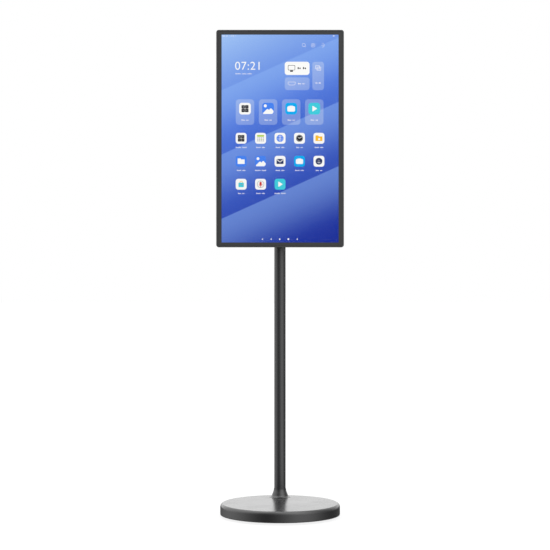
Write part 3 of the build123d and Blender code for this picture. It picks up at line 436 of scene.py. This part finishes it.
def lit_ink(name, colour, opacity=1.0):
    """A colour shown by the panel, a touch brighter towards the panel's top."""
    material, tree, shader = new_finish(name)
    place = tree.nodes.new("ShaderNodeTexCoord").outputs["Object"]
    split = tree.nodes.new("ShaderNodeSeparateXYZ")
    tree.links.new(place, split.inputs[0])
    rise = ramp_up(tree, split.outputs["Z"], panel_low.z, panel_high.z)
    dimmer = tuple(0.93 * channel for channel in colour[:3]) + (1.0,)
    tree.links.new(mixed(tree, rise, dimmer, colour), shader.inputs["Emission Color"])
    shader.inputs["Base Color"].default_value = (0, 0, 0, 1)
    shader.inputs["Roughness"].default_value = 0.6
    shader.inputs["Specular IOR Level"].default_value = 0.0
    shader.inputs["Emission Strength"].default_value = 1.0
    shader.inputs["Alpha"].default_value = opacity
    return material


inks = {
    "white": lit_ink("ink_white", display_colour(252, 252, 250)),
    "dark": lit_ink("ink_dark", display_colour(46, 46, 52)),
    "blue": lit_ink("ink_blue", display_colour(72, 132, 242)),
    "sky": lit_ink("ink_sky", display_colour(18, 172, 242)),
    "teal": lit_ink("ink_teal", display_colour(66, 206, 222)),
    "lime": lit_ink("ink_lime", display_colour(176, 208, 60)),
    "amber": lit_ink("ink_amber", display_colour(252, 190, 44)),
    "red": lit_ink("ink_red", display_colour(206, 56, 48)),
    "navy": lit_ink("ink_navy", display_colour(48, 58, 98)),
    "grey": lit_ink("ink_grey", display_colour(176, 176, 180)),
    "soft_white": lit_ink("ink_soft_white", display_colour(250, 250, 255), 0.78),
    "faint_white": lit_ink("ink_faint_white", display_colour(250, 250, 255), 0.6),
}
ink_names = list(inks)


class LitLayer:
    """Flat shapes laid on the panel, each a thin closed prism.

    Places are in screen widths from the top left.
    """

    thickness = 0.04 * MM

    def __init__(self):
        self.shapes = bmesh.new()

    def point(self, across, down, layer):
        depth = panel_low.y - (layer + 1) * 2 * self.thickness
        return Vector((lit_left + across * lit_width, depth, lit_top - down * lit_width))

    def prism(self, outline, layer, ink):
        front = [self.shapes.verts.new(self.point(*spot, layer)) for spot in outline]
        back = [
            self.shapes.verts.new(vertex.co + Vector((0, self.thickness, 0))) for vertex in front
        ]
        faces = [self.shapes.faces.new(front), self.shapes.faces.new(back[::-1])]
        for number in range(len(outline)):
            before = number - 1
            faces.append(
                self.shapes.faces.new((front[number], front[before], back[before], back[number]))
            )
        for face in faces:
            face.material_index = ink_names.index(ink)

    def tile(self, across, down, width, height, radius, layer, ink):
        outline = rounded_rectangle(width, height, radius)
        self.prism([(across + x, down + y) for x, y in outline], layer, ink)

    def disc(self, across, down, radius, layer, ink):
        steps = 40
        self.prism(
            [
                (across + radius * cos(tau * step / steps), down + radius * sin(tau * step / steps))
                for step in range(steps)
            ],
            layer,
            ink,
        )

    def arc(self, across, down, radius, width, layer, ink, start=0.0, sweep=360.0):
        """A ring, or part of one; angles in degrees, clockwise from the right."""
        steps = max(8, int(sweep / 9))
        for step in range(steps):
            first = radians(start + sweep * step / steps)
            last = radians(start + sweep * (step + 1) / steps)
            inner, outer = radius - width / 2, radius + width / 2
            self.prism(
                [
                    (across + reach * cos(angle), down + reach * sin(angle))
                    for reach, angle in ((inner, first), (outer, first), (outer, last), (inner, last))
                ],
                layer,
                ink,
            )

    def stroke(self, start, end, width, layer, ink):
        run = Vector(end) - Vector(start)
        side = Vector((-run.y, run.x)).normalized() * width / 2
        corners = (Vector(start) + side, Vector(start) - side, Vector(end) - side, Vector(end) + side)
        self.prism([tuple(corner) for corner in corners], layer, ink)

    def caption(self, across, down, width, layer, ink, height=0.0066):
        """A line of small plain blocks, in two or three runs, that stands in for words."""
        block, gap = 0.62 * height, 0.28 * height
        count = max(3, round(width / (block + gap)))
        space = {count // 2} if count < 12 else {count // 3, 2 * count // 3}
        first = across - (count - 1) * (block + gap) / 2
        for number in range(count):
            if number in space:
                continue
            tall = height * (1.0 if number % 3 == 0 else 0.74)
            spot = (first + number * (block + gap), down + (height - tall) / 2)
            self.tile(*spot, block, tall, 0.14 * height, layer, ink)

    def line(self, across, down, size, start, end, width, layer, ink):
        """A stroke whose ends and width are shares of size from the middle."""
        first, last = ((across + x * size, down + y * size) for x, y in (start, end))
        self.stroke(first, last, width * size, layer, ink)

    def shape(self, across, down, size, points, layer, ink):
        """A polygon whose points are shares of size from the middle."""
        self.prism([(across + x * size, down + y * size) for x, y in points], layer, ink)

    def finish(self, name):
        bmesh.ops.recalc_face_normals(self.shapes, faces=self.shapes.faces)
        mesh = bpy.data.meshes.new(name)
        self.shapes.to_mesh(mesh)
        self.shapes.free()
        for ink in ink_names:
            mesh.materials.append(inks[ink])
        return new_piece(name, mesh, "screen", smooth_angle=30)


def draw_calculator(layer, across, down, size):
    for side in (-1, 1):
        for rise in (-1, 1):
            spot = (across + side * 0.155 * size, down + rise * 0.155 * size)
            layer.tile(*spot, 0.295 * size, 0.295 * size, 0.05 * size, 3, "dark")
            layer.line(*spot, size, (-0.06, 0), (0.06, 0), 0.022, 4, "grey")
    layer.line(across, down, size, (-0.155, -0.215), (-0.155, -0.095), 0.022, 4, "grey")


def draw_calendar(layer, across, down, size):
    layer.tile(across, down - 0.22 * size, 0.64 * size, 0.16 * size, 0.03 * size, 3, "lime")
    for row in range(3):
        for column in range(4):
            spot = (across + (column - 1.5) * 0.165 * size, down + (row * 0.14 - 0.04) * size)
            ink = "lime" if (row, column) == (1, 2) else "grey"
            layer.tile(*spot, 0.11 * size, 0.09 * size, 0.01 * size, 3, ink)


def draw_globe(layer, across, down, size):
    layer.disc(across, down, 0.33 * size, 3, "blue")
    for rise, half in ((-0.14, 0.28), (0.0, 0.32), (0.14, 0.28)):
        layer.line(across, down, size, (-half, rise), (half, rise), 0.02, 4, "white")
    layer.line(across, down, size, (0, -0.32), (0, 0.32), 0.02, 4, "white")
    layer.arc(across - 0.3 * size, down, 0.32 * size, 0.02 * size, 4, "white", -50, 100)
    layer.arc(across + 0.3 * size, down, 0.32 * size, 0.02 * size, 4, "white", 130, 100)


def draw_clock(layer, across, down, size):
    layer.disc(across, down, 0.32 * size, 3, "dark")
    layer.arc(across, down, 0.27 * size, 0.03 * size, 4, "grey")
    layer.line(across, down, size, (0, 0), (0.17, -0.1), 0.04, 4, "white")
    layer.line(across, down, size, (0, 0), (-0.11, -0.08), 0.04, 4, "white")


def draw_folder(layer, across, down, size, ink):
    tab = [(-0.32, -0.26), (-0.06, -0.26), (0.0, -0.17), (0.32, -0.17), (0.32, 0.25), (-0.32, 0.25)]
    layer.shape(across, down, size, tab, 3, ink)
    if ink == "amber":
        layer.disc(across + 0.02 * size, down + 0.08 * size, 0.1 * size, 4, "white")


def draw_hills(layer, across, down, size):
    layer.disc(across - 0.24 * size, down - 0.24 * size, 0.13 * size, 3, "white")
    hills = [
        (-0.4, 0.46), (-0.42, 0.36), (-0.12, 0.06), (-0.02, 0.02), (0.08, 0.12),
        (0.2, -0.02), (0.3, 0.0), (0.47, 0.2), (0.45, 0.34), (0.34, 0.46),
    ]
    layer.shape(across, down, size, hills, 3, "white")


def draw_envelope(layer, across, down, size):
    layer.tile(across, down + 0.02 * size, 0.64 * size, 0.46 * size, 0.05 * size, 3, "navy")
    layer.line(across, down, size, (-0.3, -0.17), (0, 0.08), 0.06, 4, "white")
    layer.line(across, down, size, (0, 0.08), (0.3, -0.17), 0.06, 4, "white")


def draw_television(layer, across, down, size):
    layer.tile(across, down + 0.02 * size, 0.66 * size, 0.46 * size, 0.12 * size, 3, "white")
    layer.shape(across, down, size, [(-0.2, -0.18), (-0.12, -0.25), (0.12, -0.25), (0.2, -0.18)], 3, "white")


def draw_record(layer, across, down, size):
    layer.disc(across, down, 0.31 * size, 3, "navy")
    layer.arc(across, down + 0.02 * size, 0.12 * size, 0.05 * size, 4, "soft_white", 20, 140)
    layer.disc(across, down - 0.06 * size, 0.05 * size, 4, "grey")


def draw_play(layer, across, down, size, ink="white"):
    arrow = [(-0.16, -0.22), (-0.12, -0.235), (0.23, -0.02), (0.23, 0.02), (-0.12, 0.235), (-0.16, 0.22)]
    layer.shape(across, down, size, arrow, 3, ink)


def draw_bag(layer, across, down, size):
    layer.tile(across, down + 0.06 * size, 0.5 * size, 0.42 * size, 0.07 * size, 3, "teal")
    layer.arc(across, down - 0.14 * size, 0.13 * size, 0.05 * size, 3, "amber", 180, 180)
    layer.disc(across - 0.1 * size, down + 0.04 * size, 0.035 * size, 4, "red")
    layer.disc(across + 0.1 * size, down + 0.04 * size, 0.035 * size, 4, "red")


def draw_microphone(layer, across, down, size):
    layer.disc(across, down, 0.33 * size, 3, "grey")
    layer.disc(across, down, 0.28 * size, 4, "white")
    layer.tile(across, down - 0.05 * size, 0.2 * size, 0.34 * size, 0.09 * size, 5, "red")
    layer.arc(across, down - 0.02 * size, 0.17 * size, 0.035 * size, 5, "red", 0, 180)
    layer.line(across, down, size, (0, 0.13), (0, 0.27), 0.05, 5, "red")


def draw_top_marks(layer):
    """The tools, the status line and the date."""
    # Outline icons along the top: search, target and a box with an arrow.
    layer.arc(0.703, 0.089, 0.0135, 0.0023, 1, "faint_white")
    layer.stroke((0.713, 0.099), (0.721, 0.107), 0.0023, 1, "faint_white")
    layer.arc(0.783, 0.0905, 0.0165, 0.0023, 1, "faint_white")
    layer.arc(0.783, 0.0905, 0.006, 0.0023, 1, "faint_white")
    layer.arc(0.862, 0.0905, 0.0165, 0.0023, 1, "faint_white", -100, 200)
    layer.stroke((0.852, 0.0905), (0.874, 0.0905), 0.0023, 1, "faint_white")
    # The status line along the top edge.
    layer.caption(0.03, 0.0105, 0.045, 1, "faint_white", 0.0085)
    for number, spot in enumerate((0.072, 0.088, 0.102, 0.118)):
        layer.disc(spot, 0.0105, 0.0035 if number % 3 else 0.0022, 1, "faint_white")
    layer.tile(0.959, 0.0105, 0.014, 0.0075, 0.002, 1, "faint_white")
    # A date line under the clock.
    layer.caption(0.188, 0.334, 0.14, 1, "faint_white", 0.0088)


def draw_cards(layer):
    """The white card, and the marks on the translucent ones."""
    layer.tile(0.646, 0.288, 0.212, 0.113, 0.024, 1, "white")
    # A screen on a foot, and its caption.
    layer.tile(0.598, 0.283, 0.062, 0.044, 0.008, 2, "dark")
    layer.tile(0.598, 0.283, 0.054, 0.036, 0.006, 3, "white")
    layer.tile(0.598, 0.312, 0.026, 0.012, 0.004, 4, "dark")
    layer.caption(0.686, 0.286, 0.072, 2, "dark", 0.017)
    # A plug outline on the second card.
    plug = [
        (0.569, 0.405), (0.631, 0.405), (0.631, 0.42),
        (0.62, 0.4305), (0.58, 0.4305), (0.569, 0.42),
    ]
    for number, corner in enumerate(plug):
        layer.stroke(plug[number - 1], corner, 0.003, 2, "faint_white")
    layer.caption(0.681, 0.419, 0.056, 2, "soft_white", 0.0105)
    # Two overlapped outlines on the tall card.
    for shift in (-0.006, 0.006):
        for side in (-1, 1):
            edge = (0.826 + shift + side * 0.016, 0.285 + shift)
            layer.line(*edge, 1, (0, -0.013), (0, 0.013), 0.0035, 2, "soft_white")
            rail = (0.826 + shift, 0.285 + shift + side * 0.013)
            layer.line(*rail, 1, (-0.0175, 0), (0.0175, 0), 0.0035, 2, "soft_white")
    layer.caption(0.826, 0.413, 0.05, 2, "soft_white", 0.0105)


def draw_app_icons(layer):
    """Four large icons on their cards, and three rows of small ones."""
    page_size, page_corner = 0.1, 0.024
    first_page, page_pitch, page_down = 0.2, 0.1975, 0.633
    page_caption_down, page_caption_width = 0.73, 0.062
    icon_size, icon_corner = 0.093, 0.022
    first_column, column_pitch = 0.167, 0.1664
    first_row, row_pitch, icon_caption_drop = 0.8865, 0.1965, 0.078
    pages = [
        ("white", draw_calculator),
        ("blue", draw_hills),
        ("sky", draw_television),
        ("teal", draw_play),
    ]
    for number, (ground, draw) in enumerate(pages):
        across = first_page + number * page_pitch
        layer.tile(across, page_down, page_size, page_size, page_corner, 2, ground)
        draw(layer, across, page_down, page_size)
        layer.caption(across, page_caption_down, page_caption_width, 2, "faint_white", 0.0115)
    rows = [
        [
            ("white", draw_calculator),
            ("white", draw_calendar),
            ("white", draw_globe),
            ("white", draw_clock),
            ("white", lambda *at: draw_folder(*at, "amber")),
        ],
        [
            ("blue", lambda *at: draw_folder(*at, "white")),
            ("blue", draw_hills),
            ("white", draw_envelope),
            ("sky", draw_television),
            ("white", draw_record),
        ],
        [("white", draw_bag), ("white", draw_microphone), ("teal", draw_play)],
    ]
    label_widths = (0.098, 0.08, 0.078, 0.06, 0.08)
    for row, icons in enumerate(rows):
        down = first_row + row * row_pitch
        for column, (ground, draw) in enumerate(icons):
            across = first_column + column * column_pitch
            layer.tile(across, down, icon_size, icon_size, icon_corner, 2, ground)
            draw(layer, across, down, icon_size)
            width = label_widths[column - row]
            layer.caption(across, down + icon_caption_drop, width, 2, "faint_white", 0.0105)


def draw_bottom_marks(layer):
    """Back arrows and page dots; a dot radius of nothing is an arrow."""
    first_mark, mark_pitch, mark_down, arrow_size = 0.3486, 0.0742, 1.7495, 0.0068
    for number, dot_radius in enumerate((0, 0, 0.0062, 0.0078, 0)):
        spot = (first_mark + number * mark_pitch, mark_down)
        if dot_radius:
            layer.disc(*spot, dot_radius, 1, "soft_white")
        else:
            layer.shape(*spot, arrow_size, [(-1, 0), (0.8, -1), (0.8, 1)], 1, "soft_white")


def draw_screen_picture():
    """Everything that the panel shows over its wallpaper, apart from the time."""
    layer = LitLayer()
    draw_top_marks(layer)
    draw_cards(layer)
    draw_app_icons(layer)
    draw_bottom_marks(layer)
    return layer.finish("screen_icons")


def draw_time():
    """The clock's digits, raised from a plain font and thinned."""
    digits = bpy.data.curves.new("time_readout", type="FONT")
    digits.body = "07:21"
    digits.size = 0.0995 * lit_width
    digits.offset = -0.0004 * lit_width
    digits.extrude = LitLayer.thickness / 2
    digits.align_x = "LEFT"
    digits.space_character = 1.06
    source = bpy.data.objects.new("time_source", digits)
    bpy.context.scene.collection.objects.link(source)
    bpy.context.view_layer.update()
    mesh = bpy.data.meshes.new_from_object(source.evaluated_get(bpy.context.evaluated_depsgraph_get()))
    bpy.data.objects.remove(source)
    mesh.name = "time_readout"
    base = Vector(
        (
            lit_left + 0.112 * lit_width,
            panel_low.y - 3 * LitLayer.thickness,
            lit_top - 0.3 * lit_width,
        )
    )
    for vertex in mesh.vertices:
        flat = vertex.co.copy()
        vertex.co = base + Vector((flat.x, -flat.z, flat.y))
    mesh.materials.clear()
    mesh.materials.append(inks["white"])
    return new_piece("time_readout", mesh, "screen", smooth_angle=30)


# ---- The cover glass ----


def glass_materials():
    """Clear glass in the middle, and a printed border seen through it."""
    clear, _, shader = new_finish("clear_glass")
    shader.inputs["Base Color"].default_value = (1, 1, 1, 1)
    shader.inputs["Roughness"].default_value = 0.0
    shader.inputs["Transmission Weight"].default_value = 1.0
    shader.inputs["IOR"].default_value = 1.1
    printed = grained("printed_border", (0.0078, 0.0081, 0.0089), 0.36, 0.003, marks=0.05)
    return clear, printed


def build_cover_glass():
    """A 3 mm plate with an eased front edge, clear over the lit area and printed round it."""
    width, height = glass_high.x - glass_low.x, glass_high.z - glass_low.z
    middle = (glass_low + glass_high) / 2
    ease = 0.4 * MM
    corner = 2.8 * MM
    sheet = bmesh.new()

    def ring(outline, depth):
        return [sheet.verts.new((middle.x + x, depth, middle.z + y)) for x, y in outline]

    steps = 6
    front = ring(rounded_rectangle(width - 2 * ease, height - 2 * ease, corner - ease, steps), glass_low.y)
    shoulder = ring(rounded_rectangle(width, height, corner, steps), glass_low.y + ease)
    back = ring(rounded_rectangle(width, height, corner, steps), glass_high.y)
    window = [
        (side_x * lit_width / 2, side_y * lit_height / 2)
        for side_x, side_y in ((1, 1), (-1, 1), (-1, -1), (1, -1))
    ]
    front_window, back_window = ring(window, glass_low.y), ring(window, glass_high.y)

    def border(outer, inner):
        """Faces between an outline and the four corners of the window."""
        count = steps + 1
        faces = []
        for quarter in range(4):
            arc = outer[quarter * count:(quarter + 1) * count]
            for first, second in zip(arc, arc[1:]):
                faces.append(sheet.faces.new((first, second, inner[quarter])))
            following = (quarter + 1) % 4
            faces.append(
                sheet.faces.new((arc[-1], outer[following * count], inner[following], inner[quarter]))
            )
        return faces

    def band(first, second):
        return [
            sheet.faces.new((first[n - 1], first[n], second[n], second[n - 1]))
            for n in range(len(first))
        ]

    printed = border(front, front_window) + border(back, back_window)
    printed += band(front, shoulder) + band(shoulder, back)
    clear = [sheet.faces.new(front_window), sheet.faces.new(back_window)]
    for face in printed:
        face.material_index = 1
    for face in clear:
        face.material_index = 0
    bmesh.ops.recalc_face_normals(sheet, faces=sheet.faces)
    mesh = bpy.data.meshes.new("cover_glass")
    sheet.to_mesh(mesh)
    sheet.free()
    for material in glass_materials():
        mesh.materials.append(material)
    return new_piece("cover_glass", mesh, "screen", ["touch_glass"], smooth_angle=20)


# ---- The parts' own finishes ----


def dress_parts():
    """Gives each part that stays as it is the finish of its material slot."""
    slot_of = {part["node"]: part["material_slot"] for part in frame["record"]["subparts"]}
    for node, part in frame["nodes"].items():
        finish = finishes.get(slot_of[node])
        if finish is None:
            continue
        part.data.materials.clear()
        part.data.materials.append(finish)
        for holder in part.material_slots:
            holder.material = finish


dress_parts()
build_cover_glass()
draw_screen_picture()
draw_time()


# ---- Studio ----

floor_half_side = 40
floor_grey = 0.08
floor_glow = 0.86
surround_level = 0.17
overhead_strength = 2.6
# Each light: turn from straight in front of the screen towards +X, strength, and tightness.
front_right_light = (42, 1.9, 3.5)
left_light = (-90, 1.5, 3.5)
back_light = (180, 1.64, 1.6)
lens_length = 103.4
sensor_width = 36
camera_left = 0.017
camera_distance = 5.28
camera_above_base = 0.762


def build_floor():
    """A plain pale floor."""
    ground = bmesh.new()
    bmesh.ops.create_grid(ground, x_segments=1, y_segments=1, size=floor_half_side)
    mesh = bpy.data.meshes.new("studio_floor")
    ground.to_mesh(mesh)
    ground.free()
    floor = bpy.data.objects.new("studio_floor", mesh)
    bpy.context.scene.collection.objects.link(floor)
    material, _, shader = new_finish("floor_white")
    shader.inputs["Base Color"].default_value = (floor_grey, floor_grey, floor_grey, 1)
    shader.inputs["Roughness"].default_value = 0.9
    shader.inputs["Specular IOR Level"].default_value = 0.0
    shader.inputs["Emission Color"].default_value = (1, 1, 1, 1)
    shader.inputs["Emission Strength"].default_value = floor_glow
    mesh.materials.append(material)
    floor.visible_glossy = False


def build_studio_light():
    """A white surround with three broad soft lights: front right, left and behind."""
    world = bpy.data.worlds.new("studio")
    bpy.context.scene.world = world
    world.use_nodes = True
    tree = world.node_tree
    backdrop = tree.nodes["Background"]
    backdrop.inputs["Color"].default_value = (1, 1, 1, 1)
    place = tree.nodes.new("ShaderNodeTexCoord").outputs["Generated"]
    split = tree.nodes.new("ShaderNodeSeparateXYZ")
    tree.links.new(place, split.inputs[0])
    level = tree.nodes.new("ShaderNodeCombineXYZ")
    tree.links.new(split.outputs["X"], level.inputs["X"])
    tree.links.new(split.outputs["Y"], level.inputs["Y"])
    heading = tree.nodes.new("ShaderNodeVectorMath")
    heading.operation = "NORMALIZE"
    tree.links.new(level.outputs[0], heading.inputs[0])
    overhead = maths(tree, "POWER", maths(tree, "MAXIMUM", split.outputs["Z"], 0.0), 3.0)
    brightness = maths(tree, "MULTIPLY_ADD", overhead, overhead_strength, surround_level)
    above_floor = ramp_up(tree, split.outputs["Z"], -0.02, 0.08)
    climb = maths(tree, "MINIMUM", maths(tree, "MULTIPLY_ADD", split.outputs["Z"], 1.7, 1.0), 1.5)
    climb = maths(tree, "MAXIMUM", climb, 1.0)
    for light in (front_right_light, left_light, back_light):
        turn, strength, tightness = light
        facing = tree.nodes.new("ShaderNodeVectorMath")
        facing.operation = "DOT_PRODUCT"
        tree.links.new(heading.outputs[0], facing.inputs[0])
        facing.inputs[1].default_value = (sin(radians(turn)), -cos(radians(turn)), 0)
        towards = maths(tree, "MAXIMUM", facing.outputs["Value"], 0.0)
        lobe = maths(tree, "MULTIPLY", maths(tree, "POWER", towards, tightness), strength)
        lobe = maths(tree, "MULTIPLY", lobe, above_floor if light is back_light else climb)
        brightness = maths(tree, "ADD", lobe, brightness)
    tree.links.new(brightness, backdrop.inputs["Strength"])
    white = tree.nodes.new("ShaderNodeBackground")
    white.inputs["Color"].default_value = (1, 1, 1, 1)
    seen = tree.nodes.new("ShaderNodeLightPath").outputs["Is Camera Ray"]
    chosen = tree.nodes.new("ShaderNodeMixShader")
    tree.links.new(seen, chosen.inputs[0])
    tree.links.new(backdrop.outputs[0], chosen.inputs[1])
    tree.links.new(white.outputs[0], chosen.inputs[2])
    tree.links.new(chosen.outputs[0], tree.nodes["World Output"].inputs["Surface"])
    bpy.context.scene.view_settings.view_transform = "Standard"


def place_camera():
    """Level with the middle of the stand, straight in front and a little to the left."""
    lens = bpy.data.cameras.new("camera")
    lens.sensor_width = sensor_width
    lens.lens = lens_length
    camera = bpy.data.objects.new("camera", lens)
    bpy.context.scene.collection.objects.link(camera)
    camera.location = (-camera_left, -camera_distance, base_top + camera_above_base)
    camera.rotation_euler = (pi / 2, 0, 0)
    bpy.context.scene.camera = camera


build_floor()
build_studio_light()
place_camera()
